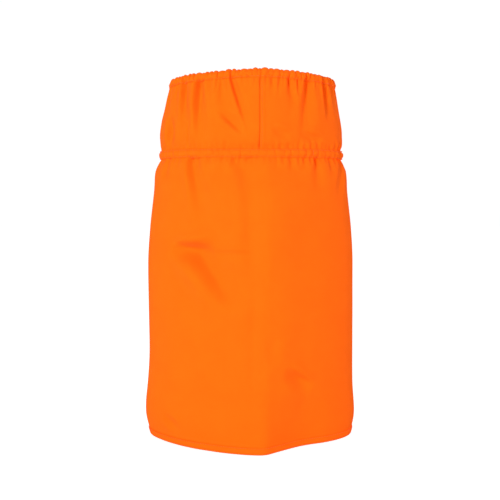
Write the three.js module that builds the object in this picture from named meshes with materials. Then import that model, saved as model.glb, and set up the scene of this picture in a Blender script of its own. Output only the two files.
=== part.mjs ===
// A pull-on lower-leg protector for chainsaw work: an open fabric tube with a gathered cuff at the top,
// a second elastic casing below it, and a padded body that hangs over the boot down to a plain hem.
// Millimetres, +Z up, the front faces -Y. The origin is at the centre of the hem's resting face.
import * as THREE from "three";

// ---- Driving dimensions -------------------------------------------------------------------------

// Heights of the tube.
const gaiterHeight = 400; // hem to top of the cuff
const waistDrop = 82.5; // top of the cuff down to the middle of the second casing

// Half sizes of the tube's outside. Width runs along X and depth along Y.
const cuffHalfWidth = 91.8;
const cuffHalfDepth = 71;
const yokeHalfWidth = 102.6; // at the yoke's fullest
const waistHalfWidth = 101.3;
const waistHalfDepth = 67;
const bodyHalfWidth = 116.7;
const bodyHalfDepth = 73;
const hemHalfWidth = 114.4;
const hemHalfDepth = 73;
const hemFlare = 2.2; // how much wider each side is just above the hem
const anklePuff = 2.1; // how much each side swells over the lower end of the pack
const bodyTaper = 2.6; // each side's loss from the fullest body to its shoulder
const shoulderSlope = 5; // further loss to where the gathers start
const gatherSlope = 3; // further loss to just above the gathers
const cuffSlope = 3.3; // how much wider each side is a little below the cuff

// How far the sides of the oval are drawn in: 0 is a true ellipse, more is a rounded lens.
const cuffLens = 0.05;
const waistLens = 0.15;
const shoulderLens = 0.22;
const bodyLens = 0.3;
const hemLens = 0.36;

// Distances of the outline's stations from the hem, from the second casing and from the cuff.
const ankleHeight = 25;
const shinHeight = 62;
const bodyDrop = 122;
const taperDrop = 82;
const shoulderDrop = 41;
const gatherDrop = 19;
const yokeRise = 18;
const yokeShoulderRise = 38;
const cuffShoulderDrop = 12.3; // below the cuff's casing

// Cloth, tape and thread.
const clearance = 0.35; // between pieces that touch in the sewn product
const shellThickness = 0.6;
const liningThickness = 0.4;
const seamTapeThickness = 0.5;
const seamTapeWidth = 10;
const casingThickness = 0.5;
const threadThickness = 0.4;
const threadWidth = 0.6;

// Elastic and the casings that hold it.
const elasticWidth = 5;
const elasticThickness = 1.2;
const topCasingWidth = 9.2;
const middleCasingWidth = 9;
const casingFlange = 1.2; // flat edge of the middle casing that is stitched down
const flangeStitch = 0.55; // thread line to the edge of that flange
const hemStripWidth = 8.4;
const stitchFromEdge = 1.1; // thread line to the edge of the strip that it holds

// The cut-protection pack: loose knitted plies, each stepped back from the one outside it.
const plyCount = 6;
const plyThickness = 0.8;
const plyStep = 4;
const packAngle = 96; // degrees each side of the front
const packAboveHem = 25;
const packBelowWaist = 14;

// Seams, tacks and the label. Angles are in degrees from the front, positive towards +X.
const yokeFrontSeamAngle = 5;
const yokeBackSeamAngle = 180;
const bodySeamAngle = 130;
const seamThreadOffset = 2; // thread line beside the seam
const tackAngle = 40;
const tackWidth = 1.2;
const labelAngle = 15; // half of the label's width
const labelHeight = 30;
const labelBelowCuff = 20;
const labelThickness = 0.4;

// Facets round the tube.
const facets = 30;
const facetAngle = 360 / facets;

// ---- The tube's outer surface -------------------------------------------------------------------

const waistHeight = gaiterHeight - waistDrop;
const hemEdge = casingThickness + clearance; // where shell and lining end inside the hem strip
const casingRoom = casingThickness + clearance; // strip and gap above the cuff's elastic

// Heights at which the outline is set, with the half sizes there.
const halfCasing = middleCasingWidth / 2;
const aboveHemStrip = hemStripWidth + 1; // first station over the hem strip
const station = (z, width, depth, lens) => ({ z, width, depth, lens });
const shoulderHalfWidth = bodyHalfWidth - bodyTaper - shoulderSlope;
const yokeShoulderHalfWidth = cuffHalfWidth + cuffSlope + (yokeHalfWidth - cuffHalfWidth) / 2;
const casingStart = gaiterHeight - topCasingWidth;
const outline = [
  station(0, hemHalfWidth, hemHalfDepth, hemLens),
  station(aboveHemStrip, hemHalfWidth + hemFlare, hemHalfDepth, hemLens),
  station(ankleHeight, bodyHalfWidth + anklePuff, bodyHalfDepth, hemLens),
  station(shinHeight, bodyHalfWidth, bodyHalfDepth, bodyLens),
  station(waistHeight - bodyDrop, bodyHalfWidth, bodyHalfDepth, bodyLens),
  station(waistHeight - taperDrop, bodyHalfWidth - bodyTaper, bodyHalfDepth, bodyLens),
  station(waistHeight - shoulderDrop, shoulderHalfWidth, bodyHalfDepth, shoulderLens),
  station(waistHeight - gatherDrop, shoulderHalfWidth - gatherSlope, waistHalfDepth, waistLens),
  station(waistHeight - halfCasing, waistHalfWidth, waistHalfDepth, waistLens),
  station(waistHeight + halfCasing, waistHalfWidth, waistHalfDepth, waistLens),
  station(waistHeight + yokeRise, yokeHalfWidth, cuffHalfDepth, waistLens),
  station(waistHeight + yokeShoulderRise, yokeShoulderHalfWidth, cuffHalfDepth, cuffLens),
  station(casingStart - cuffShoulderDrop, cuffHalfWidth + cuffSlope, cuffHalfDepth, cuffLens),
  station(casingStart, cuffHalfWidth, cuffHalfDepth, cuffLens),
  station(gaiterHeight, cuffHalfWidth, cuffHalfDepth, cuffLens),
];

// A smooth value between the outline's heights (cubic Hermite with Catmull-Rom slopes).
function outlineValue(key, z) {
  const last = outline.length - 1;
  const i = Math.max(0, Math.min(last - 1, outline.findIndex((s) => s.z > z) - 1));
  const j = z >= outline[last].z ? last - 1 : i;
  const slope = (k) => {
    const before = outline[Math.max(0, k - 1)];
    const after = outline[Math.min(last, k + 1)];
    return (after[key] - before[key]) / (after.z - before.z);
  };
  const span = outline[j + 1].z - outline[j].z;
  const t = (z - outline[j].z) / span;
  const t2 = t * t;
  const t3 = t2 * t;
  return (
    (2 * t3 - 3 * t2 + 1) * outline[j][key] +
    (t3 - 2 * t2 + t) * span * slope(j) +
    (3 * t2 - 2 * t3) * outline[j + 1][key] +
    (t3 - t2) * span * slope(j + 1)
  );
}

// The outer cloth's point at an angle from the front.
function ovalPoint(angle, z) {
  const s = Math.sin(THREE.MathUtils.degToRad(angle));
  const c = Math.cos(THREE.MathUtils.degToRad(angle));
  const width = outlineValue("width", z);
  const depth = outlineValue("depth", z);
  const lens = outlineValue("lens", z);
  return new THREE.Vector2(width * s, -depth * c * (1 - lens * s * s));
}

// Rows and columns shared by every layer, so that nested layers have parallel facets. The rows are
// the outline's stations and the pack's top, and the columns are equal steps with the edges of the
// seam tapes.
const packTop = waistHeight - packBelowWaist;
const rows = [...outline.map(({ z }) => z), packTop].sort((a, b) => a - b);
const degreesFor = (width, halfSize) => THREE.MathUtils.radToDeg(width / halfSize);
const seamPlaces = [
  { angle: yokeFrontSeamAngle, halfSize: cuffHalfDepth },
  { angle: yokeBackSeamAngle, halfSize: cuffHalfDepth },
  { angle: bodySeamAngle, halfSize: bodyHalfDepth },
  { angle: 360 - bodySeamAngle, halfSize: bodyHalfDepth },
];
const tapeEdges = seamPlaces.flatMap(({ angle, halfSize }) => {
  const half = degreesFor(seamTapeWidth, halfSize) / 2;
  return [angle - half, angle + half];
});
const evenSteps = Array.from({ length: facets }, (_, i) => i * facetAngle);
const columns = [...evenSteps, ...tapeEdges].sort((a, b) => a - b);
const around = (angle) => ((angle % 360) + 360) % 360;

const grid = rows.map((z) =>
  columns.map((angle) => {
    const point = ovalPoint(angle, z);
    const along = ovalPoint(angle + 1, z).sub(ovalPoint(angle - 1, z)).normalize();
    return { point, normal: new THREE.Vector2(along.y, -along.x) };
  }),
);

// A point `out` millimetres outside the outer cloth, on the straight facets between rows and columns.
function skinPoint(angle, z, out) {
  const turn = around(angle + 1e-9);
  const i = columns.findLastIndex((column) => column <= turn);
  const next = (i + 1) % columns.length;
  const f = Math.max(0, turn - 1e-9 - columns[i]) / around(columns[next] - columns[i]);
  const found = rows.findIndex((row) => row > z + 1e-9);
  const j = found < 0 ? rows.length - 2 : Math.max(0, found - 1);
  const g = (z - rows[j]) / (rows[j + 1] - rows[j]);
  const corner = (row, column) => {
    const { point, normal } = grid[row][column];
    return point.clone().addScaledVector(normal, out);
  };
  const low = corner(j, i).lerp(corner(j, next), f);
  const high = corner(j + 1, i).lerp(corner(j + 1, next), f);
  const flat = low.lerp(high, g);
  return new THREE.Vector3(flat.x, flat.y, z);
}

// ---- Sweeping a profile round the tube ----------------------------------------------------------

// Angles from one to another in degrees, with every shared column between them.
function anglesBetween(from, to) {
  const turns = [-360, 0, 360];
  const shared = turns.flatMap((turn) => columns.map((column) => column + turn));
  const inner = shared.filter((angle) => angle > from + 1e-6 && angle < to - 1e-6);
  return [from, ...inner, to];
}

// Heights from one to another, with every shared row between them and any extra ones.
function heightsBetween(from, to, extra = []) {
  const inner = [...rows, ...extra].filter((z) => z > from + 0.5 && z < to - 0.5);
  return [...new Set([from, ...inner, to])].sort((a, b) => a - b);
}

// Sweeps a closed profile, given at each angle as [out, z] pairs, into one closed body.
function sweep(profileAt, angles, isRing) {
  const profiles = angles.map(profileAt);
  const points = profiles[0].length;
  const position = [];
  angles.forEach((angle, a) => {
    profiles[a].forEach(([out, z]) => position.push(...skinPoint(angle, z, out).toArray()));
  });
  const index = [];
  const spans = isRing ? angles.length : angles.length - 1;
  for (let a = 0; a < spans; a += 1) {
    const here = a * points;
    const next = ((a + 1) % angles.length) * points;
    for (let p = 0; p < points; p += 1) {
      const q = (p + 1) % points;
      // Every quad is cut from its low corner to its high one, so that facing sides stay parallel.
      const isRising = profiles[a][q][1] > profiles[a][p][1];
      if (isRising) index.push(here + p, next + p, next + q, here + p, next + q, here + q);
      else index.push(here + p, next + p, here + q, next + p, next + q, here + q);
    }
  }
  if (!isRing) {
    // An end is a ladder between the profile's inner and outer sides, which hold the same heights.
    const lastAngle = (angles.length - 1) * points;
    for (let p = 0; p < points / 2 - 1; p += 1) {
      const q = points - 1 - p;
      index.push(p, p + 1, q - 1, p, q - 1, q);
      index.push(lastAngle + p, lastAngle + q - 1, lastAngle + p + 1);
      index.push(lastAngle + p, lastAngle + q, lastAngle + q - 1);
    }
  }
  const geometry = new THREE.BufferGeometry();
  geometry.setAttribute("position", new THREE.Float32BufferAttribute(position, 3));
  geometry.setIndex(index);
  geometry.computeVertexNormals();
  return geometry;
}

const ringAngles = columns;

// A layer of cloth between two depths inside the outer surface; a depth may depend on angle and height.
function layerProfile(heights, outerDepth, thickness) {
  return (angle) => {
    const depth = (z) => (typeof outerDepth === "function" ? outerDepth(angle, z) : outerDepth);
    const outside = heights.map((z) => [-depth(z), z]);
    const inside = heights.map((z) => [-depth(z) - thickness, z]).reverse();
    return [...inside, ...outside];
  };
}

function layer(heights, outerDepth, thickness, angles, isRing = false) {
  return sweep(layerProfile(heights, outerDepth, thickness), angles, isRing);
}

// ---- Depths of the layers, measured inwards from the outer cloth ---------------------------------

const seamTapeDepth = shellThickness + clearance;
const thinLiningDepth = seamTapeDepth + seamTapeThickness + clearance;
const thinLiningInside = thinLiningDepth + liningThickness;
const plyPitch = plyThickness + clearance;
const plyDepth = (i) => shellThickness + clearance + i * plyPitch;

const packBottom = packAboveHem;
const plyBottom = (i) => packBottom + i * plyStep;
const plyTop = (i) => packTop - i * plyStep;

// Each inner ply stops one shared facet earlier than every second one outside it.
const plyAngle = (i) => packAngle - facetAngle * Math.floor(i / 2);

// The lining lies on the pack and slopes back to the shell past each stepped edge.
const packLiningDepth = plyDepth(plyCount);
function liningDepth(angle, z) {
  const folded = Math.min(around(angle), 360 - around(angle));
  const stepFromEdge = Math.min((z - plyBottom(0)) / plyStep, (plyTop(0) - z) / plyStep) + 1;
  const byHeight = plyDepth(0) + plyPitch * stepFromEdge;
  const isBesidePack = folded > packAngle + 1e-6;
  const depth = isBesidePack ? thinLiningDepth : byHeight;
  return Math.max(thinLiningDepth, Math.min(packLiningDepth, depth));
}
const rampFoot = plyStep * (1 - (thinLiningDepth - plyDepth(0)) / plyPitch);
const liningRampRows = [
  plyBottom(0) - rampFoot,
  plyBottom(plyCount - 1),
  plyTop(plyCount - 1),
  plyTop(0) + rampFoot,
];

// ---- Materials ----------------------------------------------------------------------------------

const cloth = (color, roughness) => new THREE.MeshStandardMaterial({ color, roughness, metalness: 0 });
const shellTwill = cloth("#ff7414", 0.85);
const casingTwill = cloth("#ff7414", 0.85);
const orangeThread = cloth("#f26a12", 0.6);
const whiteElastic = cloth("#e9e6df", 0.8);
const bindingTape = cloth("#3a3d42", 0.85);
const liningTaffeta = cloth("#33363b", 0.7);
const packKnit = cloth("#e6e2d3", 0.95);
const labelSatin = cloth("#f2f1ee", 0.55);

const gaiter = new THREE.Group();
function add(name, geometry, material) {
  const mesh = new THREE.Mesh(geometry, material);
  mesh.name = name;
  gaiter.add(mesh);
}

// ---- Outer shell --------------------------------------------------------------------------------

const cuffEdge = gaiterHeight - casingRoom - elasticWidth - clearance; // top edge of shell and lining
const seamGap = clearance / 2;
const yokeSeamGap = degreesFor(seamGap, cuffHalfDepth);
const bodySeamGap = degreesFor(seamGap, bodyHalfDepth);

const yokeHeights = heightsBetween(waistHeight + seamGap, cuffEdge);
const bodyHeights = heightsBetween(hemEdge, waistHeight - seamGap);

add(
  "yoke_right",
  layer(
    yokeHeights,
    0,
    shellThickness,
    anglesBetween(yokeFrontSeamAngle + yokeSeamGap, yokeBackSeamAngle - yokeSeamGap),
  ),
  shellTwill,
);
add(
  "yoke_left",
  layer(
    yokeHeights,
    0,
    shellThickness,
    anglesBetween(yokeBackSeamAngle + yokeSeamGap, 360 + yokeFrontSeamAngle - yokeSeamGap),
  ),
  shellTwill,
);
add(
  "body_front",
  layer(
    bodyHeights,
    0,
    shellThickness,
    anglesBetween(-bodySeamAngle + bodySeamGap, bodySeamAngle - bodySeamGap),
  ),
  shellTwill,
);
add(
  "body_back",
  layer(
    bodyHeights,
    0,
    shellThickness,
    anglesBetween(bodySeamAngle + bodySeamGap, 360 - bodySeamAngle - bodySeamGap),
  ),
  shellTwill,
);

// ---- Cuff casing and its elastic ----------------------------------------------------------------

const stripOut = clearance + casingThickness; // a strip's outer face, outside the shell
const stripIn = thinLiningInside + clearance + casingThickness; // its inner face, inside the lining

// A strip folded over an edge of the shell and lining. `edge` is the fold and `lip` the open side.
function foldedStrip(edge, lip) {
  const wall = Math.sign(lip - edge) * casingThickness;
  const profile = [
    [stripOut, edge],
    [stripOut, lip],
    [stripOut - casingThickness, lip],
    [stripOut - casingThickness, edge + wall],
    [-stripIn + casingThickness, edge + wall],
    [-stripIn + casingThickness, lip],
    [-stripIn, lip],
    [-stripIn, edge],
  ];
  return sweep(() => (lip > edge ? profile : [...profile].reverse()), ringAngles, true);
}
add("top_casing", foldedStrip(gaiterHeight, casingStart), casingTwill);

// A flat band with its outer face `out` millimetres outside the shell.
function band(out, thickness, low, high) {
  return sweep(
    () => [
      [out, low],
      [out, high],
      [out - thickness, high],
      [out - thickness, low],
    ],
    ringAngles,
    true,
  );
}
const cuffElasticOut = (elasticThickness - thinLiningInside) / 2;
const cuffElasticTop = gaiterHeight - casingRoom;
add(
  "top_elastic",
  band(cuffElasticOut, elasticThickness, cuffElasticTop - elasticWidth, cuffElasticTop),
  whiteElastic,
);

// ---- Middle casing and its elastic --------------------------------------------------------------

const middleElasticOut = clearance + elasticThickness;
const middleCasingOut = middleElasticOut + clearance + casingThickness;
const middleCasingLow = waistHeight - halfCasing;
const middleCasingHigh = waistHeight + halfCasing;
const casingWallLow = middleCasingLow + casingFlange;
const casingWallHigh = middleCasingHigh - casingFlange;
const casingInside = middleCasingOut - casingThickness;
add(
  "middle_casing",
  sweep(
    () => [
      [clearance, middleCasingLow],
      [stripOut, middleCasingLow],
      [stripOut, casingWallLow],
      [middleCasingOut, casingWallLow],
      [middleCasingOut, casingWallHigh],
      [stripOut, casingWallHigh],
      [stripOut, middleCasingHigh],
      [clearance, middleCasingHigh],
      [clearance, casingWallHigh - casingThickness],
      [casingInside, casingWallHigh - casingThickness],
      [casingInside, casingWallLow + casingThickness],
      [clearance, casingWallLow + casingThickness],
    ],
    ringAngles,
    true,
  ),
  casingTwill,
);
add(
  "middle_elastic",
  band(
    middleElasticOut,
    elasticThickness,
    waistHeight - elasticWidth / 2,
    waistHeight + elasticWidth / 2,
  ),
  whiteElastic,
);

// ---- Hem ----------------------------------------------------------------------------------------

add("bottom_hem", foldedStrip(0, hemStripWidth), casingTwill);

// ---- Lining -------------------------------------------------------------------------------------

add(
  "yoke_lining",
  layer(yokeHeights, thinLiningDepth, liningThickness, ringAngles, true),
  liningTaffeta,
);
add(
  "body_lining",
  layer(
    heightsBetween(hemEdge, waistHeight - seamGap, liningRampRows),
    liningDepth,
    liningThickness,
    ringAngles,
    true,
  ),
  liningTaffeta,
);

// ---- Cut-protection plies -----------------------------------------------------------------------

for (let i = 0; i < plyCount; i += 1) {
  const heights = heightsBetween(plyBottom(i), plyTop(i));
  const angles = anglesBetween(-plyAngle(i), plyAngle(i));
  add(`cut_ply_${i + 1}`, layer(heights, plyDepth(i), plyThickness, angles), packKnit);
}

// ---- Seam tapes and seam threads ----------------------------------------------------------------

// A vertical strip centred on an angle, inside or outside the shell.
function verticalStrip(angle, width, halfSize, low, high, depth, thickness) {
  const half = degreesFor(width, halfSize) / 2;
  return layer(heightsBetween(low, high), depth, thickness, anglesBetween(angle - half, angle + half));
}

const threadDepth = -(clearance + threadThickness);
const aboveHem = hemStripWidth + clearance;
const belowWaist = waistHeight - halfCasing - clearance;
const aboveWaist = waistHeight + halfCasing + clearance;
const belowCuff = casingStart - clearance;

const yokeSpan = { low: aboveWaist, high: belowCuff };
const bodySpan = { low: aboveHem, high: belowWaist };
const seams = [
  { name: "yoke_front_seam", ...seamPlaces[0], ...yokeSpan },
  { name: "yoke_back_seam", ...seamPlaces[1], ...yokeSpan },
  { name: "body_right_seam", ...seamPlaces[2], ...bodySpan },
  { name: "body_left_seam", ...seamPlaces[3], ...bodySpan },
];
for (const { name, angle, halfSize, low, high } of seams) {
  add(
    `${name}_tape`,
    verticalStrip(angle, seamTapeWidth, halfSize, low, high, seamTapeDepth, seamTapeThickness),
    bindingTape,
  );
  const threadAngle = angle + degreesFor(seamThreadOffset, halfSize);
  add(
    `${name}_thread`,
    verticalStrip(threadAngle, threadWidth, halfSize, low, high, threadDepth, threadThickness),
    orangeThread,
  );
}

// ---- Threads round the strips -------------------------------------------------------------------

const stripThreadOut = stripOut + clearance + threadThickness;
const threadLine = (z) => band(stripThreadOut, threadThickness, z - threadWidth / 2, z + threadWidth / 2);
add("top_casing_thread", threadLine(casingStart + stitchFromEdge), orangeThread);
add("hem_thread", threadLine(hemStripWidth - stitchFromEdge), orangeThread);

add("middle_casing_upper_thread", threadLine(middleCasingHigh - flangeStitch), orangeThread);
add("middle_casing_lower_thread", threadLine(middleCasingLow + flangeStitch), orangeThread);

// ---- Tacks that anchor the middle elastic -------------------------------------------------------

for (const [name, angle] of [["left_elastic_tack", -tackAngle], ["right_elastic_tack", tackAngle]]) {
  add(
    name,
    verticalStrip(
      angle,
      tackWidth,
      waistHalfWidth,
      waistHeight - elasticWidth / 2,
      waistHeight + elasticWidth / 2,
      -(middleCasingOut + clearance + threadThickness),
      threadThickness,
    ),
    orangeThread,
  );
}

// ---- Blank marking label inside the cuff's back -------------------------------------------------

add(
  "marking_label",
  layer(
    heightsBetween(gaiterHeight - labelBelowCuff - labelHeight, gaiterHeight - labelBelowCuff),
    thinLiningInside + clearance,
    labelThickness,
    anglesBetween(180 - labelAngle, 180 + labelAngle),
  ),
  labelSatin,
);

export default gaiter;
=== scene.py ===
import math

import bpy
import numpy as np
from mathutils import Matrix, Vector


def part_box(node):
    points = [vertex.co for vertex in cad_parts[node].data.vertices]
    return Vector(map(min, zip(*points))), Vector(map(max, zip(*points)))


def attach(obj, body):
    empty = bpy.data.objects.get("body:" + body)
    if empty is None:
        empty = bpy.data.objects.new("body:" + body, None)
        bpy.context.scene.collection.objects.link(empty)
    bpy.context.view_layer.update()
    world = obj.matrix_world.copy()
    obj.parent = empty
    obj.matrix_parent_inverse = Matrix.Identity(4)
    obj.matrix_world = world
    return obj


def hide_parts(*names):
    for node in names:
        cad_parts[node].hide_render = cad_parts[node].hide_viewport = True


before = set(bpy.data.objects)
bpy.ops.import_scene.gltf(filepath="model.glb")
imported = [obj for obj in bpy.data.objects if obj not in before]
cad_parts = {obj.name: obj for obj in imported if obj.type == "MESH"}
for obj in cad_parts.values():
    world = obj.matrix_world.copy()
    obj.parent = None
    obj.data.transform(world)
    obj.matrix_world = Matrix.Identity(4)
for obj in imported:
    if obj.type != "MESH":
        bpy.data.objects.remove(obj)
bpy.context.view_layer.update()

# ---- Outer cloth: the yoke and the body ---------------------------------------------------------
# Bright orange matt twill, cut wider than the finished tube and drawn in by the two elastics, so that
# folds run down from the cuff and out from the waist. Four panels are sewn into one tube.

waist = sum(corner.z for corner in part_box("middle_casing")) / 2
cuff_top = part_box("top_casing")[1].z
cuff_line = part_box("top_casing")[0].z
waist_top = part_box("middle_casing")[1].z
waist_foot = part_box("middle_casing")[0].z
hem_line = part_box("bottom_hem")[1].z
half_waist_casing = (waist_top - waist_foot) / 2

# The tube filled out: height, half width, half depth and how far the sides are pinched in.
outline = np.array(
    [
        (0.0, 0.1144, 0.073, 0.36),
        (hem_line + 0.001, 0.1166, 0.073, 0.36),
        (0.025, 0.1188, 0.073, 0.36),
        (0.062, 0.1167, 0.073, 0.3),
        (waist - 0.122, 0.1167, 0.073, 0.3),
        (waist - 0.082, 0.1141, 0.073, 0.3),
        (waist - 0.041, 0.1091, 0.073, 0.22),
        (waist - 0.019, 0.1069, 0.067, 0.15),
        (waist_foot, 0.1013, 0.067, 0.15),
        (waist_top, 0.1013, 0.067, 0.15),
        (waist + 0.018, 0.1026, 0.071, 0.15),
        (waist + 0.038, 0.1005, 0.071, 0.05),
        (waist + 0.061, 0.0951, 0.071, 0.05),
        (cuff_line, 0.0918, 0.071, 0.05),
        (cuff_top, 0.0918, 0.071, 0.05),
    ]
)


def through_outline(heights, column):
    """A smooth curve through one column of the outline, at each height."""
    at, value = outline[:, 0], outline[:, column]
    slope = np.empty(len(at))
    slope[1:-1] = (value[2:] - value[:-2]) / (at[2:] - at[:-2])
    slope[0] = (value[1] - value[0]) / (at[1] - at[0])
    slope[-1] = (value[-1] - value[-2]) / (at[-1] - at[-2])
    i = np.clip(np.searchsorted(at, heights, side="right") - 1, 0, len(at) - 2)
    span = at[i + 1] - at[i]
    t = (heights - at[i]) / span
    return (
        (2 * t**3 - 3 * t**2 + 1) * value[i]
        + (t**3 - 2 * t**2 + t) * span * slope[i]
        + (3 * t**2 - 2 * t**3) * value[i + 1]
        + (t**3 - t**2) * span * slope[i + 1]
    )


def oval(turn, heights):
    """Points of the filled-out tube at an angle from the front, towards +X, and a height."""
    across, along = np.sin(turn), np.cos(turn)
    pinch = 1 - through_outline(heights, 3) * across**2
    x = through_outline(heights, 1) * across
    y = -through_outline(heights, 2) * along * pinch
    return np.stack([x, y, np.broadcast_to(heights, x.shape)], -1)


# Columns are even along the cloth at the shin, and run from the back round the front to the back.
round_steps = 640
row_steps = 200
shin_height = 0.15
fine_turn = np.linspace(-math.pi, math.pi, 4001)
shin_ring = oval(fine_turn, np.full(len(fine_turn), shin_height))
shin_run = np.concatenate([[0], np.cumsum(np.linalg.norm(np.diff(shin_ring, axis=0), axis=1))])
shin_girth = shin_run[-1]
turns = np.interp(np.arange(round_steps) / round_steps * shin_girth, shin_run, fine_turn)
levels = np.linspace(0, cuff_top, row_steps + 1)
tube = oval(turns[None, :], levels[:, None])

# The cuff stands a little to the right of the waist.
cuff_lean = 0.0015
above_waist = np.clip((levels - waist) / (cuff_top - waist), 0, 1)
tube[:, :, 0] += cuff_lean * above_waist[:, None] ** 2

# Distance round the cloth from its front middle, at every point of the grid.
steps = np.linalg.norm(np.roll(tube, -1, axis=1) - tube, axis=2)
run = np.concatenate([np.zeros((row_steps + 1, 1)), np.cumsum(steps, axis=1)], axis=1)
girth = run[:, -1]
front_column = round_steps // 2
round_cloth = run[:, :-1] - run[:, front_column : front_column + 1]
height = np.broadcast_to(levels[:, None], round_cloth.shape)


def outward(grid):
    """Unit normals of a grid of points that closes on itself round the tube."""
    sideways = np.roll(grid, -1, axis=1) - np.roll(grid, 1, axis=1)
    upward = np.gradient(grid, axis=0)
    normal = np.cross(sideways, upward)
    return normal / np.linalg.norm(normal, axis=2, keepdims=True)


def cloth_place(x, z):
    """Distance round the cloth of the front point that is x sideways at height z."""
    row = int(round(z / cuff_top * row_steps))
    front = slice(front_column - round_steps // 4, front_column + round_steps // 4 + 1)
    return float(np.interp(x, tube[row, front, 0], round_cloth[row, front]))


def bell(distance, width):
    """1 in the middle of a soft shape, falling smoothly to nothing past its width."""
    return np.exp(-((distance / width) ** 2))


# How far each place of the cloth stands out from the filled-out tube.
swell = np.zeros_like(round_cloth)
seam_run_out = 0.006  # how far a stitched fold runs on past its start


def fold(start, end, width, depth, spread=1.0, stitched=False, lean=0.0):
    """Presses a valley with soft shoulders into the cloth, from start to end as (round, height).
    A stitched fold is deepest at its start; another fades at both ends. A positive lean makes the
    right-hand side of the way from start to end the wider one."""
    ds, dz = end[0] - start[0], end[1] - start[1]
    length = math.hypot(ds, dz)
    aside_full = (round_cloth - start[0]) * dz / length - (height - start[1]) * ds / length
    along = ((round_cloth - start[0]) * ds + (height - start[1]) * dz) / length**2
    wide = width * (1 + (spread - 1) * np.clip(along, 0, 1))
    q = aside_full / (wide * (1 + lean * np.tanh(aside_full / (wide * 0.3))))
    if stitched:
        before = bell(along * length, seam_run_out)
        reach = np.where(along < 0, before, np.clip(1 - along**2, 0, 1) ** 1.5)
    else:
        reach = np.clip(1 - (2 * along - 1) ** 2, 0, 1) ** 1.5
    swell[:] -= depth * reach * (1 - 0.8 * q * q) * np.exp(-q * q / 2)


# Folds of the yoke, from the cuff down: where they start and end sideways and in height.
yoke_fullness = 1.3
for x0, z0, x1, z1, width, depth, lean in (
    (-0.0880, 0.388, -0.0905, 0.352, 0.0030, 0.0014, 0.0),
    (-0.0800, 0.389, -0.0815, 0.370, 0.0022, 0.0010, 0.0),
    (-0.0722, 0.390, -0.0700, 0.340, 0.0036, 0.0042, -0.4),
    (-0.0655, 0.390, -0.0660, 0.374, 0.0020, 0.0009, 0.0),
    (-0.0556, 0.389, -0.0540, 0.320, 0.0050, 0.0048, -0.4),
    (-0.0430, 0.390, -0.0440, 0.366, 0.0026, 0.0014, -0.2),
    (-0.0310, 0.390, -0.0300, 0.360, 0.0030, 0.0016, -0.2),
    (-0.0200, 0.390, 0.0010, 0.330, 0.0026, 0.0034, -0.4),
    (0.0205, 0.390, 0.0210, 0.370, 0.0024, 0.0011, 0.0),
    (0.0300, 0.390, 0.0305, 0.378, 0.0020, 0.0009, 0.0),
    (0.0400, 0.390, 0.0445, 0.362, 0.0028, 0.0025, 0.2),
    (0.0490, 0.390, 0.0500, 0.374, 0.0022, 0.0011, 0.0),
    (0.0592, 0.390, 0.0555, 0.330, 0.0050, 0.0036, -0.2),
    (0.0690, 0.390, 0.0700, 0.376, 0.0022, 0.0010, 0.0),
    (0.0765, 0.390, 0.0835, 0.350, 0.0032, 0.0036, -0.3),
    (0.0860, 0.388, 0.0920, 0.362, 0.0026, 0.0012, 0.0),
):
    place, end_place = cloth_place(x0, z0), cloth_place(x1, z1)
    depth *= yoke_fullness
    fold((place, z0), (end_place, z1), width, depth, spread=1.8, stitched=True, lean=lean)

# Dents and creases that don't start at a seam.
dent_fullness = 1.25
for x0, z0, x1, z1, width, depth, spread, lean in (
    (-0.0340, 0.360, -0.0060, 0.335, 0.0046, 0.0032, 1.0, -0.4),
    (-0.0870, 0.360, -0.0890, 0.322, 0.0055, 0.0042, 1.0, -0.3),
    (-0.0672, 0.352, -0.0668, 0.318, 0.0016, 0.0010, 1.0, 0.0),
    (0.0500, 0.338, 0.0780, 0.330, 0.0050, 0.0026, 1.0, 0.3),
    (0.0200, 0.341, 0.0420, 0.333, 0.0050, 0.0020, 1.0, 0.3),
    (-0.0870, 0.2170, -0.0370, 0.2110, 0.0060, 0.0078, 2.5, 0.30),
    (-0.0500, 0.2120, 0.0120, 0.2120, 0.0045, 0.0012, 1.0, 0.5),
    (-0.0650, 0.2230, -0.0110, 0.1540, 0.0180, 0.0072, 1.3, -0.45),
    (0.0350, 0.0890, 0.0680, 0.0660, 0.0075, 0.0040, 1.0, 0.4),
    (0.0220, 0.1300, 0.0180, 0.0900, 0.0080, 0.0016, 1.0, 0.0),
    (-0.0950, 0.0300, -0.0760, 0.0180, 0.0050, 0.0018, 1.0, 0.0),
    (0.0000, 0.3000, 0.0010, 0.1700, 0.0140, 0.0034, 1.0, -0.3),
    (0.0060, 0.2200, 0.0040, 0.0500, 0.0140, 0.0024, 1.0, -0.3),
):
    place, end_place = cloth_place(x0, z0), cloth_place(x1, z1)
    fold((place, z0), (end_place, z1), width, dent_fullness * depth, spread=spread, lean=lean)

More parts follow.
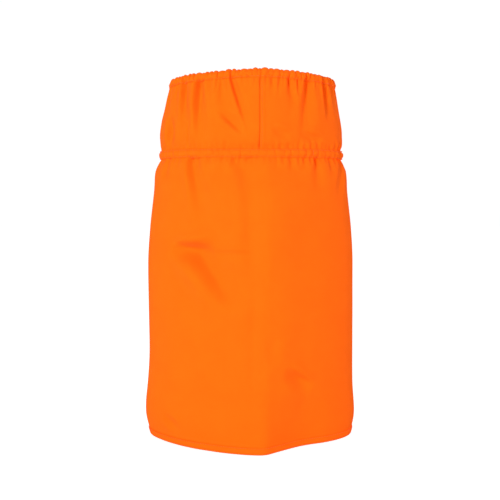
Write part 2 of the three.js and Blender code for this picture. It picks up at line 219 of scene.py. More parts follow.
# Folds of the body that start under the waist casing.
body_fullness = 1.15
for x0, z0, x1, z1, width, depth, lean in (
    (-0.0900, 0.311, -0.0930, 0.285, 0.0030, 0.0014, 0.0),
    (-0.0640, 0.311, -0.0470, 0.228, 0.0078, 0.0046, -0.4),
    (-0.0450, 0.311, -0.0440, 0.290, 0.0034, 0.0015, 0.0),
    (-0.0180, 0.311, -0.0140, 0.297, 0.0036, 0.0034, 0.0),
    (-0.0080, 0.311, -0.0020, 0.250, 0.0090, 0.0030, -0.3),
    (0.0230, 0.311, 0.0260, 0.296, 0.0030, 0.0012, 0.0),
    (0.0420, 0.311, 0.0440, 0.294, 0.0032, 0.0013, 0.0),
    (0.0560, 0.311, 0.0560, 0.300, 0.0026, 0.0012, 0.0),
    (0.0705, 0.311, 0.0720, 0.272, 0.0048, 0.0026, 0.0),
    (0.0860, 0.311, 0.0900, 0.290, 0.0034, 0.0013, 0.0),
):
    place, end_place = cloth_place(x0, z0), cloth_place(x1, z1)
    depth *= body_fullness
    fold((place, z0), (end_place, z1), width, depth, spread=1.9, stitched=True, lean=lean)

# The small even gathers that each casing puts into the cloth, all the way round.
cloth_luck = np.random.default_rng(41)
gather_width = 0.24  # of the distance from one to the next
for level, way, pitch, depth, length in (
    (cuff_line, -1, 0.0056, 0.00095, 0.014),
    (waist_top, 1, 0.0070, 0.00100, 0.008),
    (waist_foot, -1, 0.0070, 0.00120, 0.009),
):
    place = -girth.max() / 2
    while place < girth.max() / 2:
        reach = length * cloth_luck.uniform(0.5, 1.7)
        drift = cloth_luck.uniform(-0.002, 0.002)
        fold(
            (place, level),
            (place + drift, level + way * reach),
            pitch * gather_width,
            depth * cloth_luck.uniform(0.4, 1.5),
            spread=2.0,
            stitched=True,
        )
        place += pitch * cloth_luck.uniform(0.65, 1.4)

# Folds at the back and the sides of the yoke and the body, where the cloth is as full as in front.
front_reach = 0.115
for level, way in ((cuff_line, -1), (waist_foot, -1), (waist_top, 1)):
    place = front_reach
    while place < girth.min() - front_reach:
        reach = cloth_luck.uniform(0.016, 0.055) * (1.0 if way < 0 else 0.5)
        back_place = place if place < girth.min() / 2 else place - girth.min()
        fold(
            (back_place, level),
            (back_place + cloth_luck.uniform(-0.008, 0.008), level + way * reach),
            cloth_luck.uniform(0.003, 0.006),
            cloth_luck.uniform(0.0010, 0.0026),
            spread=1.8,
            stitched=True,
            lean=cloth_luck.uniform(-0.4, 0.4),
        )
        place += cloth_luck.uniform(0.012, 0.024)

# The front of the body stands up in a narrow ridge on a broad one, which fades towards the hem.
ridge_place = cloth_place(0.0145, shin_height)
below_waist = np.clip((waist_foot - height) / 0.06, 0, 1)
swell += 0.0020 * below_waist * bell(round_cloth - ridge_place, 0.009)
broad_ridge = 0.0048 * below_waist * (1 - 0.6 * bell(height, 0.050))
swell += broad_ridge * bell(round_cloth - ridge_place, 0.030)

# So does the front of the yoke, beside its seam; this ridge fades towards the cuff.
yoke_ridge_place = cloth_place(0.010, 0.35)
yoke_ridge = np.clip(2.5 * above_waist, 0, 1)[:, None] * (1 - 0.6 * above_waist[:, None])
swell += 0.0056 * yoke_ridge * bell(round_cloth - yoke_ridge_place, 0.024)

# The hem is pushed in at the right of the ridge, and stands out a little under the ridge itself.
hem_dent_place, hem_swell_place = cloth_place(0.056, 0.02), cloth_place(0.006, 0.02)
near_hem = bell(height, 0.060)
swell -= 0.0085 * near_hem * bell(round_cloth - hem_dent_place, 0.034)
swell += 0.0030 * near_hem * bell(round_cloth - hem_swell_place, 0.022)

# Low on the left the body stands out a little.
left_place = cloth_place(-0.110, 0.03)
swell += 0.0040 * bell(height - 0.040, 0.038) * bell(round_cloth - left_place, 0.050)


def blurred(grid, wide, tall):
    """A grid smoothed over so many columns and rows; it closes on itself round its columns."""
    mirrored = np.concatenate([grid, grid[::-1]])
    up = np.fft.fftfreq(mirrored.shape[0])[:, None]
    aside = np.fft.rfftfreq(grid.shape[1])[None, :]
    keep = np.exp(-2 * (math.pi * up * tall) ** 2 - 2 * (math.pi * aside * wide) ** 2)
    return np.fft.irfft2(np.fft.rfft2(mirrored) * keep, s=mirrored.shape)[: len(grid)]


# The cloth is never quite even: long soft waves, and shorter ones from handling. Each is given by the
# columns and rows that it is smoothed over, and by its amount.
for wide, tall, amount in ((22, 26, 0.0004), (7, 9, 0.00010)):
    unevenness = blurred(cloth_luck.normal(size=swell.shape), wide, tall)
    swell += amount * unevenness / unevenness.std()

# Each seam draws its two edges in and leaves a low ridge where they are pressed to one side. A seam's
# place is in degrees from the front, towards +X.
seam_columns = {}
for seam, degrees, low, high in (
    ("yoke_front_seam", 5, waist, cuff_line),
    ("yoke_back_seam", -180, waist, cuff_line),
    ("body_right_seam", 130, 0.0, waist),
    ("body_left_seam", -130, 0.0, waist),
):
    column = np.interp(math.radians(degrees), turns, np.arange(round_steps))
    seam_columns[seam] = float(column)
    away = (np.arange(round_steps) - column + round_steps / 2) % round_steps - round_steps / 2
    away = away[None, :] * girth[:, None] / round_steps
    sewn = 1 / (1 + np.exp(-(height - low) / 0.002)) / (1 + np.exp((height - high) / 0.002))
    swell -= 0.0009 * sewn * bell(away, 0.0011)
    swell += 0.0005 * sewn * bell(away - 0.0034, 0.0018)

# Under the casings the cloth is held flatter by their stitching, each by its own grip.
held = np.ones_like(height)
for low, high, grip in ((waist_foot, waist_top, 0.85), (cuff_line, cuff_top, 0.42)):
    middle, half = (low + high) / 2, (high - low) / 2
    beyond = np.maximum(np.abs(height - middle) - half * 0.4, 0)
    held *= 1 - bell(beyond, 0.003) * grip
swell *= np.where(height < hem_line, 1.0, held)

# Just outside both edges of the waist casing its stitching pulls the cloth in.
for edge in (waist_top + 0.0014, waist_foot - 0.0014):
    swell -= 0.0011 * bell(height - edge, 0.0017)

# The waist hangs a little lower in front than at the sides, and the cuff stands a little higher.
sag = 0.0018 * bell(round_cloth, 0.070) * bell(height - waist, 0.045)
sag -= 0.0013 * above_waist[:, None] ** 2 * bell(round_cloth - 0.020, 0.045)
tube_normal = outward(tube)
skin = tube + tube_normal * swell[:, :, None]
skin[:, :, 2] -= sag
skin_normal = outward(skin)

# What lies inside follows the outer cloth's deepest places, and so stays clear of every fold.
pressed = -swell
for columns_away in range(1, 8):
    beside = np.maximum(np.roll(-swell, columns_away, 1), np.roll(-swell, -columns_away, 1))
    pressed = np.maximum(pressed, beside)
for _ in range(4):
    pressed[1:] = np.maximum(pressed[1:], pressed[:-1])
    pressed[:-1] = np.maximum(pressed[:-1], pressed[1:])
pressed = blurred(pressed, 8, 3)
inside = tube - tube_normal * pressed[:, :, None]
inside[:, :, 2] -= sag
inside_normal = outward(inside)


def row_at(z):
    """Fractional row of the cloth at a height."""
    return np.asarray(z) / cuff_top * row_steps


def column_at(place, z):
    """Column of the cloth at a distance round it from the front middle."""
    row = int(np.clip(round(float(row_at(z))), 0, row_steps))
    spots = np.concatenate([round_cloth[row], [round_cloth[row, 0] + girth[row]]])
    low = round_cloth[row, 0]
    wrapped = (np.asarray(place) - low) % girth[row] + low
    return np.interp(wrapped, spots, np.arange(round_steps + 1))


def on_cloth(columns, rows, out=0.0, surface=None):
    """Points on the cloth at fractional columns and rows, a distance outside it."""
    face, face_normal = surface or (skin, skin_normal)
    columns, rows = np.broadcast_arrays(np.asarray(columns, float), np.asarray(rows, float))
    rows = np.clip(rows, 0, row_steps)
    r0 = np.clip(np.floor(rows).astype(int), 0, row_steps - 1)
    c0 = np.floor(columns).astype(int)
    fr, fc = (rows - r0)[..., None], (columns - c0)[..., None]
    c0, c1 = c0 % round_steps, (c0 + 1) % round_steps

    def mix(grid):
        low = grid[r0, c0] * (1 - fc) + grid[r0, c1] * fc
        high = grid[r0 + 1, c0] * (1 - fc) + grid[r0 + 1, c1] * fc
        return low * (1 - fr) + high * fr

    return mix(face) + mix(face_normal) * np.asarray(out)[..., None]


def sew_mesh(name, points, faces, places, material):
    """A mesh object from points and faces, with cloth places in metres as its UV map."""
    mesh = bpy.data.meshes.new(name)
    mesh.from_pydata(points.tolist(), [], faces.tolist())
    layer = mesh.uv_layers.new(name="cloth")
    corner = np.empty(len(mesh.loops), int)
    mesh.loops.foreach_get("vertex_index", corner)
    layer.data.foreach_set("uv", places[corner].astype(np.float32).ravel())
    mesh.polygons.foreach_set("use_smooth", [True] * len(mesh.polygons))
    mesh.materials.append(material)
    piece = bpy.data.objects.new(name, mesh)
    bpy.context.scene.collection.objects.link(piece)
    return piece


def grid_faces(rows, columns, closes=False):
    """Faces of a grid of rows and columns, which may close on itself round its columns."""
    beside_count = columns if closes else columns - 1
    r, c = np.meshgrid(np.arange(rows - 1), np.arange(beside_count), indexing="ij")
    here, beside = r * columns + c, r * columns + (c + 1) % columns
    return np.stack([here, beside, beside + columns, here + columns], -1).reshape(-1, 4)


def cloth_panel(
    name, from_column, to_column, low, high, out, thickness, material, coarse=1, surface=None, depth=None
):
    """One cut piece of cloth on the tube, between two columns and two heights. It may lie on another
    surface than the outer cloth, at a depth that changes from place to place."""
    closes = to_column - from_column == round_steps
    count = int(round((to_column - from_column) / coarse)) + (0 if closes else 1)
    columns = np.linspace(from_column, to_column, count, endpoint=not closes)
    rows = np.linspace(row_at(low), row_at(high), int((row_at(high) - row_at(low)) / coarse) + 1)
    at_columns, at_rows = np.meshgrid(columns, rows)
    if depth is not None:
        out = out - depth(at_columns, at_rows)
    points = on_cloth(at_columns, at_rows, out, surface).reshape(-1, 3)
    places = np.stack([at_columns * shin_girth / round_steps, at_rows / row_steps * cuff_top], -1)
    faces = grid_faces(len(rows), len(columns), closes)
    piece = sew_mesh(name, points, faces, places.reshape(-1, 2), material)
    shell = piece.modifiers.new("thickness", "SOLIDIFY")
    shell.thickness, shell.offset = thickness, -1
    return piece


# The weave: steep twill ribs made of short floats, with uneven yarn, in metres of cloth.
weave = bpy.data.node_groups.new("twill weave", "ShaderNodeTree")
for socket, way, usual in (
    ("Ribs per metre", "INPUT", 1100),
    ("Dye patch size", "INPUT", 40),
    ("Height", "OUTPUT", 0),
    ("Dye", "OUTPUT", 0),
    ("Fuzz", "OUTPUT", 0),
):
    made = weave.interface.new_socket(socket, in_out=way, socket_type="NodeSocketFloat")
    made.default_value = usual
w_in = weave.nodes.new("NodeGroupInput")
w_out = weave.nodes.new("NodeGroupOutput")


def step(tree, operation, *values):
    """A Math node fed with sockets or numbers."""
    node = tree.nodes.new("ShaderNodeMath")
    node.operation = operation
    for socket, value in zip(node.inputs, values):
        if isinstance(value, (int, float)):
            socket.default_value = value
        else:
            tree.links.new(value, socket)
    return node.outputs[0]


w_uv = weave.nodes.new("ShaderNodeUVMap")
w_uv.uv_map = "cloth"
w_split = weave.nodes.new("ShaderNodeSeparateXYZ")
weave.links.new(w_uv.outputs[0], w_split.inputs[0])
turns_per_metre = step(weave, "MULTIPLY", w_in.outputs[0], 2 * math.pi)
slant = step(weave, "ADD", w_split.outputs[0], step(weave, "MULTIPLY", w_split.outputs[1], 0.6))
rib = step(weave, "SINE", step(weave, "MULTIPLY", slant, turns_per_metre))
float_wave = step(weave, "SINE", step(weave, "MULTIPLY", w_split.outputs[1], turns_per_metre))
w_noise = weave.nodes.new("ShaderNodeTexNoise")
w_noise.inputs["Scale"].default_value = 420
w_noise.inputs["Detail"].default_value = 3
weave.links.new(w_uv.outputs[0], w_noise.inputs["Vector"])
woven = step(weave, "ADD", rib, step(weave, "MULTIPLY", float_wave, 0.35))
uneven = step(weave, "MULTIPLY", w_noise.outputs[0], 1.1)
weave.links.new(step(weave, "ADD", woven, uneven), w_out.inputs["Height"])
w_patch = weave.nodes.new("ShaderNodeTexNoise")
w_patch.inputs["Detail"].default_value = 4
w_patch.inputs["Roughness"].default_value = 0.65
weave.links.new(w_in.outputs[1], w_patch.inputs["Scale"])
weave.links.new(w_uv.outputs[0], w_patch.inputs["Vector"])
ribbed_dye = step(weave, "MULTIPLY", rib, 0.10)
weave.links.new(step(weave, "ADD", w_patch.outputs[0], ribbed_dye), w_out.inputs["Dye"])
weave.links.new(w_noise.outputs[0], w_out.inputs["Fuzz"])


def woven_cloth(
    name, light, dark, ribs, bump, rough, glow=None, glow_strength=0.0, sheen=0.25, gloss=0.2
):
    """A woven cloth: dye between a light and a dark tone, ribs in relief, a soft sheen, and a painted glow
    if one is given.
    """
    material = bpy.data.materials.new(name)
    material.use_nodes = True
    tree = material.node_tree
    cloth = tree.nodes["Principled BSDF"]
    group = tree.nodes.new("ShaderNodeGroup")
    group.node_tree = weave
    group.inputs[0].default_value = ribs
    tones = tree.nodes.new("ShaderNodeValToRGB")
    tones.color_ramp.elements[0].position = 0.25
    tones.color_ramp.elements[0].color = (*dark, 1)
    tones.color_ramp.elements[1].position = 0.75
    tones.color_ramp.elements[1].color = (*light, 1)
    tree.links.new(group.outputs["Dye"], tones.inputs[0])
    tree.links.new(tones.outputs[0], cloth.inputs["Base Color"])
    relief = tree.nodes.new("ShaderNodeBump")
    relief.inputs["Strength"].default_value = 1.0
    relief.inputs["Distance"].default_value = bump
    tree.links.new(group.outputs["Height"], relief.inputs["Height"])
    tree.links.new(relief.outputs[0], cloth.inputs["Normal"])
    roughness = step(tree, "ADD", step(tree, "MULTIPLY", group.outputs["Fuzz"], 0.12), rough)
    tree.links.new(roughness, cloth.inputs["Roughness"])
    cloth.inputs["Specular IOR Level"].default_value = gloss
    cloth.inputs["Sheen Weight"].default_value = sheen
    cloth.inputs["Sheen Roughness"].default_value = 0.5
    # Painted light: a constant glow of the given colour and strength.
    if glow:
        cloth.inputs["Emission Color"].default_value = (*glow, 1)
        cloth.inputs["Emission Strength"].default_value = glow_strength
    return material


orange_light = (0.96, 0.164, 0.0045)
orange_dark = (0.93, 0.152, 0.0040)
# Painted light: the orange cloth is given a constant red glow of its own. It stands in for its
# fluorescence and for the light its folds bounce into each other, and keeps shaded folds red.
orange_glow = (1.0, 0.030, 0.0)
glow_strength = 0.26
twill = woven_cloth(
    "orange twill", orange_light, orange_dark, ribs=1100, bump=0.00006, rough=0.78,
    glow=orange_glow, glow_strength=glow_strength, sheen=0.02, gloss=0.04,
)

shell_thickness = 0.0006
yoke_foot, yoke_head = waist - 0.0005, cuff_top - 0.003
body_foot, body_head = 0.0012, waist + 0.0004
front_seam_column = seam_columns["yoke_front_seam"]
left_column, right_column = seam_columns["body_left_seam"], seam_columns["body_right_seam"]
panels = (
    ("yoke_left", 0.0, front_seam_column, yoke_foot, yoke_head, (0.31, 0.088)),
    ("yoke_right", front_seam_column, float(round_steps), yoke_foot, yoke_head, (0.30, 0.088)),
    ("body_front", left_column, right_column, body_foot, body_head, (0.43, 0.335)),
    ("body_back", right_column, left_column + round_steps, body_foot, body_head, (0.21, 0.335)),
)
for node, start, end, low, high, cut in panels:
    panel = cloth_panel(
        node + "_cloth", start, end, low, high, out=0.0, thickness=shell_thickness, material=twill
    )
    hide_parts(node)
    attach(panel, "root")

# ---- Seam tapes ---------------------------------------------------------------------------------
# A dark woven tape, 10 mm wide, lies behind each seam of the yoke and the body and covers its raw
# edges. It is caught in the seam's own stitching.

binding = woven_cloth(
    "seam binding", (0.045, 0.047, 0.052), (0.028, 0.029, 0.033), ribs=900, bump=0.00004, rough=0.8
)
tape_width, tape_end = 0.010, 0.0004
yoke_cloths, body_cloths = ["yoke_left_cloth", "yoke_right_cloth"], ["body_front_cloth", "body_back_cloth"]
for seam, low, high, cloths in (
    ("yoke_front_seam", waist_top + tape_end, cuff_line - tape_end, yoke_cloths),
    ("yoke_back_seam", waist_top + tape_end, cuff_line - tape_end, yoke_cloths),
    ("body_right_seam", hem_line + tape_end, waist_foot - tape_end, body_cloths),
    ("body_left_seam", hem_line + tape_end, waist_foot - tape_end, body_cloths),
):
    half_columns = tape_width / 2 / shin_girth * round_steps
    middle = seam_columns[seam]
    tape = cloth_panel(
        seam + "_binding", middle - half_columns, middle + half_columns, low, high,
        out=-0.0011, thickness=0.0004, material=binding,
    )
    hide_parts(seam + "_tape")
    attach(tape, "root")

# ---- Stitching ----------------------------------------------------------------------------------
# Lockstitch in orange thread, a stitch every 3 mm: beside each seam, along the edges of both
# casings, and along the hem. Each stitch dips into the cloth at both ends.

thread = bpy.data.materials.new("orange thread")
thread.use_nodes = True
thread_tree = thread.node_tree
thread_twist = thread_tree.nodes.new("ShaderNodeTexWave")
thread_twist.inputs["Scale"].default_value = 900
thread_twist.inputs["Distortion"].default_value = 0.5
thread_place = thread_tree.nodes.new("ShaderNodeTexCoord")
thread_tree.links.new(thread_place.outputs["Object"], thread_twist.inputs["Vector"])
# The thread is a darker orange than the cloth. The darker orange is painted shade for the shadow along the
# stitch lines; the twist is the thread's own.
thread_tones = thread_tree.nodes.new("ShaderNodeValToRGB")
thread_tones.color_ramp.elements[0].color = (0.74, 0.095, 0.006, 1)
thread_tones.color_ramp.elements[1].color = (0.88, 0.135, 0.006, 1)
thread_tree.links.new(thread_twist.outputs["Color"], thread_tones.inputs[0])
thread_shader = thread_tree.nodes["Principled BSDF"]
thread_tree.links.new(thread_tones.outputs[0], thread_shader.inputs["Base Color"])
thread_relief = thread_tree.nodes.new("ShaderNodeBump")
thread_relief.inputs["Distance"].default_value = 0.00005
thread_tree.links.new(thread_twist.outputs["Fac"], thread_relief.inputs["Height"])
thread_tree.links.new(thread_relief.outputs[0], thread_shader.inputs["Normal"])
thread_shader.inputs["Roughness"].default_value = 0.5
# Painted light: the thread glows faintly red, like the cloth.
thread_shader.inputs["Emission Color"].default_value = (1.0, 0.032, 0.0, 1)
thread_shader.inputs["Emission Strength"].default_value = 0.18


def stitching(name, columns, rows, out, pitch=0.003, thick=0.00019):
    """A row of stitches along a fine line of places on the cloth; each is a bowed, tapering loop."""
    line = on_cloth(columns, rows, out)
    away = on_cloth(columns, rows, out + 0.001) - line
    away /= np.linalg.norm(away, axis=1, keepdims=True)
    run_along = np.concatenate([[0], np.cumsum(np.linalg.norm(np.diff(line, axis=0), axis=1))])
    count = int(run_along[-1] / pitch)
    share = np.array([-0.40, -0.34, -0.20, 0.0, 0.20, 0.34, 0.40])
    lift = np.array([-0.00028, -0.00008, 0.00010, 0.00016, 0.00010, -0.00008, -0.00028])
    girths = np.array([0.45, 0.85, 1.0, 1.05, 1.0, 0.85, 0.45]) * thick
    sides = 6
    around = np.arange(sides) / sides * 2 * math.pi
    centres = (np.arange(count) + 0.5) * run_along[-1] / count
    at = (centres[:, None] + share[None, :] * run_along[-1] / count).ravel()
    middle = np.stack([np.interp(at, run_along, line[:, i]) for i in range(3)], -1)
    normal = np.stack([np.interp(at, run_along, away[:, i]) for i in range(3)], -1)
    ahead = np.stack([np.interp(at + 0.0004, run_along, line[:, i]) for i in range(3)], -1)
    behind = np.stack([np.interp(at - 0.0004, run_along, line[:, i]) for i in range(3)], -1)
    along = ahead - behind
    along /= np.linalg.norm(along, axis=1, keepdims=True)
    aside = np.cross(along, normal)
    middle = middle + normal * np.tile(lift, count)[:, None]
    radius = np.tile(girths, count)[:, None, None]
    ring = normal[:, None, :] * np.cos(around)[None, :, None]
    ring = ring + aside[:, None, :] * np.sin(around)[None, :, None]
    points = (middle[:, None, :] + ring * radius).reshape(-1, 3)
    one = grid_faces(len(share), sides, closes=True)
    per = len(share) * sides
    faces = (one[None] + (np.arange(count) * per)[:, None, None]).reshape(-1, 4)
    places = np.zeros((len(points), 2))
    row_of_stitches = sew_mesh(name, points, faces[:, ::-1], places, thread)
    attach(row_of_stitches, "root")
    return row_of_stitches


beside_seam, thread_end = 0.0022, 0.001
seam_samples = 400
for seam, low, high in (
    ("yoke_front_seam", waist_top + thread_end, cuff_line - thread_end),
    ("yoke_back_seam", waist_top + thread_end, cuff_line - thread_end),
    ("body_right_seam", hem_line + thread_end, waist_foot - thread_end),
    ("body_left_seam", hem_line + thread_end, waist_foot - thread_end),
):
    beside = seam_columns[seam] + beside_seam / shin_girth * round_steps
    rise = np.linspace(row_at(low), row_at(high), seam_samples)
    stitches = stitching(seam + "_stitches", np.full(seam_samples, beside), rise, 0.0001)
    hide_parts(seam + "_thread")

ring_columns = np.linspace(0, round_steps, 3000)
from_edge = 0.0011
for node, level, out in (
    ("top_casing_thread", cuff_line + from_edge, 0.00075),
    ("middle_casing_upper_thread", waist_top - from_edge, 0.00085),
    ("middle_casing_lower_thread", waist_foot + from_edge, 0.00085),
    ("hem_thread", hem_line - from_edge, 0.00075),
):
    ring_rows = np.full(len(ring_columns), row_at(level))
    stitches = stitching(node.replace("thread", "stitches"), ring_columns, ring_rows, out)
    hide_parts(node)

# ---- Cut-protection pack ------------------------------------------------------------------------
# Six loose plies of pale knit hang behind the front and sides of the body. Each is cut a little
# smaller than the one outside it, so that the pack has no hard edge.

ply_knit = woven_cloth(
    "protection knit", (0.80, 0.77, 0.67), (0.68, 0.64, 0.54), ribs=420, bump=0.00025, rough=0.9, sheen=0.3
)
pack_top, pack_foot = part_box("cut_ply_1")[1].z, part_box("cut_ply_1")[0].z
pack_degrees, pair_degrees = 96, 12  # either side of the front, and less for each further pair of plies
ply_count, ply_step = 6, 0.004
ply_pitch, ply_thickness, first_ply = 0.00115, 0.0007, 0.00125
for number in range(1, ply_count + 1):
    low = pack_foot + ply_step * (number - 1)
    high = pack_top - ply_step * (number - 1)
    half_turn = math.radians(pack_degrees - pair_degrees * ((number - 1) // 2))
    start, end = np.interp([-half_turn, half_turn], turns, np.arange(round_steps))
    depth = first_ply + (number - 1) * ply_pitch
    ply = cloth_panel(
        f"pack_ply_{number}", start, end, low, high, out=-depth, thickness=ply_thickness,
        material=ply_knit, coarse=4, surface=(inside, inside_normal),
    )
    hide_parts(f"cut_ply_{number}")
    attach(ply, "root")
    width = (end - start) / round_steps * shin_girth

# ---- Lining -------------------------------------------------------------------------------------
# A thin dark taffeta, one tube behind the yoke and one behind the pack, caught in the casings and
# in the hem. It lies loosely, so it is full of small soft creases.

lining_cloth = woven_cloth(
    "lining taffeta", (0.040, 0.043, 0.050), (0.024, 0.026, 0.031), ribs=1600, bump=0.00003, rough=0.5
)
lining_luck = np.random.default_rng(19)
lining_creases = blurred(lining_luck.normal(size=swell.shape), 5, 12)
lining_creases = np.abs(lining_creases / lining_creases.std()) * 0.0005
pack_depth, thin_depth = first_ply + ply_count * ply_pitch + 0.0002, 0.0020
pack_half_turn = math.radians(pack_degrees)


def lining_depth(columns, rows):
    """How far the lining is inside the outer cloth: deeper where it lies over the pack, and creased."""
    turn = np.abs(np.interp(columns % round_steps, np.arange(round_steps), turns))
    z = rows / row_steps * cuff_top
    beside = 1 / (1 + np.exp((turn - pack_half_turn - 0.06) / 0.035))
    over = 1 / (1 + np.exp((pack_foot + 0.004 - z) / 0.0045))
    over = over / (1 + np.exp((z - pack_top + 0.004) / 0.0045))
    crease = lining_creases[np.round(rows).astype(int), np.round(columns).astype(int) % round_steps]
    return thin_depth + (pack_depth - thin_depth) * beside * over + crease


for node, low, high, out, cut in (
    ("yoke_lining", waist - 0.0025, cuff_top - 0.006, 0.0, (0.60, 0.089)),
    ("body_lining", 0.0014, waist + 0.0025, -0.0008, (0.64, 0.333)),
):
    lining = cloth_panel(
        node + "_cloth", 0, round_steps, low, high, out=out, thickness=0.0003, material=lining_cloth,
        coarse=2, surface=(inside, inside_normal), depth=lining_depth,
    )
    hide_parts(node)
    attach(lining, "root")

# ---- Waist casing, its elastic and its tacks ----------------------------------------------------
# A tape of the same twill, 9 mm wide, sewn on outside over the join of yoke and body. A 5 mm flat
# elastic runs inside it, puckers it between its two lines of stitching and is tacked in two places.

pucker_luck = np.random.default_rng(7)


def pinch_line(length, pitch):
    """Places of the pinches in a gathered strip, unevenly spaced along its length."""
    count = int(round(length / pitch))
    gaps = pucker_luck.uniform(0.6, 1.45, count)
    ends = np.cumsum(gaps)
    return np.concatenate([[0], ends / ends[-1] * length])


def gathered_strip(name, profile, level, pitch, samples, material, thickness, puff_out=0.0, puff_up=0.0):
    """A strip round the tube, puckered along its run. Its profile is points of (out, up, puffiness
    outwards, puffiness upwards), from its inner side round to its outer side."""
    row = row_at(level)
    length = float(np.interp(row, np.arange(row_steps + 1), girth))
    pinches = pinch_line(length, pitch)
    strength = pucker_luck.uniform(0.35, 1.35, len(pinches))
    place = np.arange(samples) / samples * length
    i = np.clip(np.searchsorted(pinches, place, side="right") - 1, 0, len(pinches) - 2)
    t = (place - pinches[i]) / (pinches[i + 1] - pinches[i])
    puffed = np.sin(math.pi * t) ** 0.7 * strength[i] - 0.5
    out_of, up_of, puffs, lifts = (np.array(column)[:, None] for column in zip(*profile))
    out = out_of + puffs * puffed * puff_out
    up = up_of + lifts * puffed * puff_up
    columns = np.broadcast_to(column_at(place, level), out.shape)
    points = on_cloth(columns, row_at(level + up), out)
    points[..., 2] += np.maximum(level + up - cuff_top, 0)
    run_up = np.cumsum([0] + [math.dist(a[:2], b[:2]) for a, b in zip(profile, profile[1:])])
    places = np.stack(np.broadcast_arrays(place[None, :], run_up[:, None]), -1).reshape(-1, 2)
    faces = grid_faces(len(profile), samples, closes=True)
    strip = sew_mesh(name, points.reshape(-1, 3), faces, places, material)
    shell = strip.modifiers.new("thickness", "SOLIDIFY")
    shell.thickness, shell.offset = thickness, -1
    return strip


elastic_cloth = woven_cloth(
    "flat elastic", (0.80, 0.79, 0.75), (0.62, 0.61, 0.57), ribs=1500, bump=0.00008, rough=0.7
)
half_elastic = 0.0025
elastic_rises = (-half_elastic, 0.0, half_elastic)
waist_elastic = gathered_strip(
    "waist_elastic", [(0.0009, up, 1, 0) for up in elastic_rises], waist,
    pitch=0.0105, samples=700, material=elastic_cloth, thickness=0.0008,
)
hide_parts("middle_elastic")
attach(waist_elastic, "root")

# The casings are of the same twill, with the same painted red glow.
casing_twill = woven_cloth(
    "orange casing twill", orange_light, orange_dark, ribs=1250, bump=0.00006, rough=0.80,
    glow=orange_glow, glow_strength=glow_strength, sheen=0.02, gloss=0.04,
)
half = half_waist_casing
waist_profile = [
    (0.0002, -half + 0.0030, 0, 0),
    (0.0001, -half + 0.0005, 0, 0),
    (0.0008, -half, 0.6, 0),
    (0.0013, -half + 0.0003, 1.0, 0),
    (0.0008, -half + 0.0011, 0.1, 0),
    (0.0017, -half + 0.0020, 0.5, 0),
    (0.0020, -half + 0.0028, 1, 0),
    (0.0022, 0.0, 1, 0),
    (0.0020, half - 0.0028, 1, 0),
    (0.0017, half - 0.0020, 0.5, 0),
    (0.0008, half - 0.0011, 0.1, 0),
    (0.0013, half - 0.0003, 1.0, 0),
    (0.0008, half, 0.6, 0),
    (0.0001, half - 0.0005, 0, 0),
    (0.0002, half - 0.0030, 0, 0),
]
casing_thickness = 0.0004
waist_casing = gathered_strip(
    "waist_casing", waist_profile, waist,
    pitch=0.0085, samples=1400, material=casing_twill, thickness=casing_thickness, puff_out=0.0012,
)
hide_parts("middle_casing")
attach(waist_casing, "root")

half_tack, tack_samples = 0.0026, 60
for side, degrees in (("left", -40), ("right", 40)):
    column = float(np.interp(math.radians(degrees), turns, np.arange(round_steps)))
    rise = np.linspace(row_at(waist - half_tack), row_at(waist + half_tack), tack_samples)
    tack_columns = np.full(tack_samples, column)
    tack = stitching(side + "_tack_stitches", tack_columns, rise, 0.0024, pitch=0.0026, thick=0.00028)
    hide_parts(side + "_elastic_tack")

# ---- Cuff casing and its elastic ----------------------------------------------------------------
# A strip of twill folded over the top edge and stitched down through both sides, with a 5 mm flat
# elastic inside. The elastic draws it into small scallops all the way round.

cuff_elastic = gathered_strip(
    "cuff_elastic", [(-0.0013, up - 0.0048, 1, 0) for up in elastic_rises], cuff_top,
    pitch=0.0058, samples=900, material=elastic_cloth, thickness=0.0008,
)
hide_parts("top_elastic")
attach(cuff_elastic, "root")

tall = cuff_top - cuff_line
cuff_profile = [
    (0.0002, -tall + 0.0030, 0, 0),
    (0.0001, -tall + 0.0005, 0, 0),
    (0.0002, -tall, 0.2, 0),
    (0.0004, -tall + 0.0004, 0.3, 0),
    (0.0004, -tall + 0.0011, 0.2, 0),
    (0.0009, -tall + 0.0024, 0.8, 0),
    (0.0014, -tall + 0.0038, 1, 0),
    (0.0007, -0.0034, 1, 0.2),
    (-0.0003, -0.0018, 1, 0.6),
    (-0.0013, -0.0008, 0.8, 1),
    (-0.0023, -0.0004, 0.6, 1),
    (-0.0031, -0.0010, 0.6, 1),
    (-0.0037, -0.0022, 0.8, 0.6),
    (-0.0040, -0.0042, 1, 0.2),
    (-0.0038, -0.0062, 0.8, 0),
    (-0.0031, -tall + 0.0020, 0.3, 0),
    (-0.0031, -tall + 0.0010, 0.1, 0),
    (-0.0032, -tall + 0.0002, 0.2, 0),
]
cuff = gathered_strip(
    "cuff_casing", cuff_profile, cuff_top, pitch=0.0056, samples=2200,
    material=casing_twill, thickness=casing_thickness, puff_out=0.0015, puff_up=0.0012,
)
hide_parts("top_casing")
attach(cuff, "root")

# ---- Hem ----------------------------------------------------------------------------------------
# The lower edge is bound with a folded strip of the same twill under one line of stitching, and it
# stands on the floor.

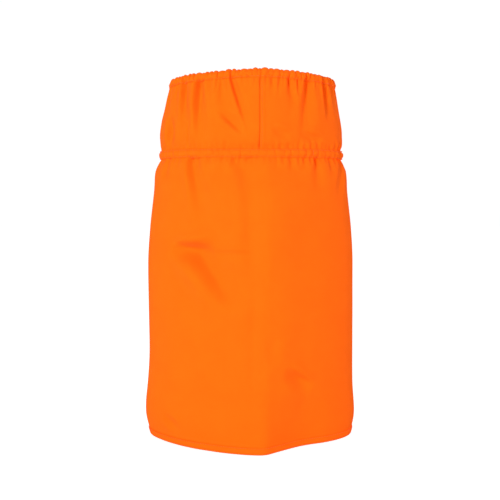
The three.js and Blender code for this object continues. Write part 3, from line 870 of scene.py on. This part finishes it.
hem_profile = [
    (-0.0029, hem_line, 0, 0),
    (-0.0030, hem_line - 0.0012, 0.2, 0),
    (-0.0034, 0.0040, 1, 0),
    (-0.0031, 0.0012, 0.6, 0),
    (-0.0022, 0.0002, 0.2, 0),
    (-0.0010, 0.0, 0, 0),
    (0.0003, 0.0003, 0.1, 0),
    (0.0009, 0.0014, 0.6, 0),
    (0.0011, 0.0040, 1, 0),
    (0.0009, hem_line - 0.0020, 0.6, 0),
    (0.0006, hem_line - 0.0012, 0.2, 0),
    (0.0007, hem_line - 0.0004, 0.5, 0),
    (0.0005, hem_line, 0.3, 0),
    (0.0001, hem_line - 0.0004, 0, 0),
    (0.0001, hem_line - 0.0030, 0, 0),
]
hem = gathered_strip(
    "bottom_hem_strip", hem_profile, 0.0,
    pitch=0.016, samples=1300, material=casing_twill, thickness=casing_thickness, puff_out=0.0003,
)
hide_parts("bottom_hem")
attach(hem, "root")

# ---- Marking label ------------------------------------------------------------------------------
# A blank white satin label lies inside the yoke at the back, sewn down along its top.

label_satin = woven_cloth(
    "label satin", (0.86, 0.86, 0.84), (0.80, 0.80, 0.78), ribs=2200, bump=0.00002, rough=0.35
)
label_top, label_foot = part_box("marking_label")[1].z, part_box("marking_label")[0].z
label_turn = math.radians(15)
label_start = float(np.interp(math.pi - label_turn, turns, np.arange(round_steps)))
label_end = round_steps + float(np.interp(-math.pi + label_turn, turns, np.arange(round_steps)))
label = cloth_panel(
    "blank_label", label_start, label_end, label_foot, label_top,
    out=-0.0038, thickness=0.0003, material=label_satin, surface=(inside, inside_normal),
)
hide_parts("marking_label")
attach(label, "root")

# ---- Camera, light and floor --------------------------------------------------------------------
# A white seamless floor and backdrop, a soft light from the left in front, and a weak one from the
# right.

floor_mesh = bpy.data.meshes.new("floor")
half_floor = 8.0
floor_corners = [(x * half_floor, y * half_floor, 0) for x, y in ((-1, -1), (1, -1), (1, 1), (-1, 1))]
floor_mesh.from_pydata(floor_corners, [], [(0, 1, 2, 3)])
floor = bpy.data.objects.new("floor", floor_mesh)
bpy.context.scene.collection.objects.link(floor)
paper = bpy.data.materials.new("white paper")
paper.use_nodes = True
paper_shader = paper.node_tree.nodes["Principled BSDF"]
paper_shader.inputs["Base Color"].default_value = (0.60, 0.60, 0.60, 1)
paper_shader.inputs["Roughness"].default_value = 0.9
paper_shader.inputs["Emission Color"].default_value = (1, 1, 1, 1)
paper_seen = paper.node_tree.nodes.new("ShaderNodeLightPath")
paper_lift = step(paper.node_tree, "MULTIPLY", paper_seen.outputs["Is Camera Ray"], 0.80)
paper.node_tree.links.new(paper_lift, paper_shader.inputs["Emission Strength"])
floor_mesh.materials.append(paper)

# The studio is white all round. It gives most of its light from behind the object and from above.
world = bpy.data.worlds.new("studio")
bpy.context.scene.world = world
world.use_nodes = True
sky = world.node_tree.nodes["Background"]
direction = world.node_tree.nodes.new("ShaderNodeTexCoord")
split = world.node_tree.nodes.new("ShaderNodeSeparateXYZ")
world.node_tree.links.new(direction.outputs["Generated"], split.inputs[0])
behind = world.node_tree.nodes.new("ShaderNodeMapRange")
behind.inputs["From Min"].default_value = 0.15
behind.inputs["From Max"].default_value = 0.75
behind.inputs["To Min"].default_value = 0.10
behind.inputs["To Max"].default_value = 0.80
world.node_tree.links.new(split.outputs["Y"], behind.inputs["Value"])
above = world.node_tree.nodes.new("ShaderNodeMapRange")
above.inputs["From Min"].default_value = 0.35
above.inputs["From Max"].default_value = 0.9
above.inputs["To Max"].default_value = 0.30
world.node_tree.links.new(split.outputs["Z"], above.inputs["Value"])
strength = step(world.node_tree, "ADD", behind.outputs["Result"], above.outputs["Result"])
world.node_tree.links.new(strength, sky.inputs["Strength"])
sky.inputs["Color"].default_value = (1, 1, 1, 1)
backdrop = world.node_tree.nodes.new("ShaderNodeBackground")
backdrop.inputs["Color"].default_value = (1, 1, 1, 1)
backdrop.inputs["Strength"].default_value = 1.02
seen = world.node_tree.nodes.new("ShaderNodeLightPath")
either = world.node_tree.nodes.new("ShaderNodeMixShader")
world.node_tree.links.new(seen.outputs["Is Camera Ray"], either.inputs[0])
world.node_tree.links.new(sky.outputs[0], either.inputs[1])
world.node_tree.links.new(backdrop.outputs[0], either.inputs[2])
world.node_tree.links.new(either.outputs[0], world.node_tree.nodes["World Output"].inputs["Surface"])


def softbox(name, place, target, side, watts):
    """A square soft light at a place, aimed at a target."""
    data = bpy.data.lights.new(name, "AREA")
    data.shape, data.size, data.size_y, data.energy = "RECTANGLE", side, side, watts
    lamp = bpy.data.objects.new(name, data)
    bpy.context.scene.collection.objects.link(lamp)
    lamp.location = place
    aim = Vector(target) - Vector(place)
    lamp.rotation_euler = aim.to_track_quat("-Z", "Y").to_euler()


mid_body = (0, 0, 0.2)
softbox("light_left", (-1.00, -1.85, 0.45), mid_body, side=0.36, watts=36)
softbox("light_right", (1.9, -0.50, 0.4), mid_body, side=0.9, watts=15)

eye = bpy.data.cameras.new("camera")
eye.lens, eye.sensor_width = 49.36, 36.0
camera = bpy.data.objects.new("camera", eye)
bpy.context.scene.collection.objects.link(camera)
camera.location = (-0.0011, -0.780, 0.259)
looks_down = 3.52
camera.rotation_euler = (math.radians(90 - looks_down), 0, 0)
bpy.context.scene.camera = camera
bpy.context.scene.view_settings.view_transform = "Standard"
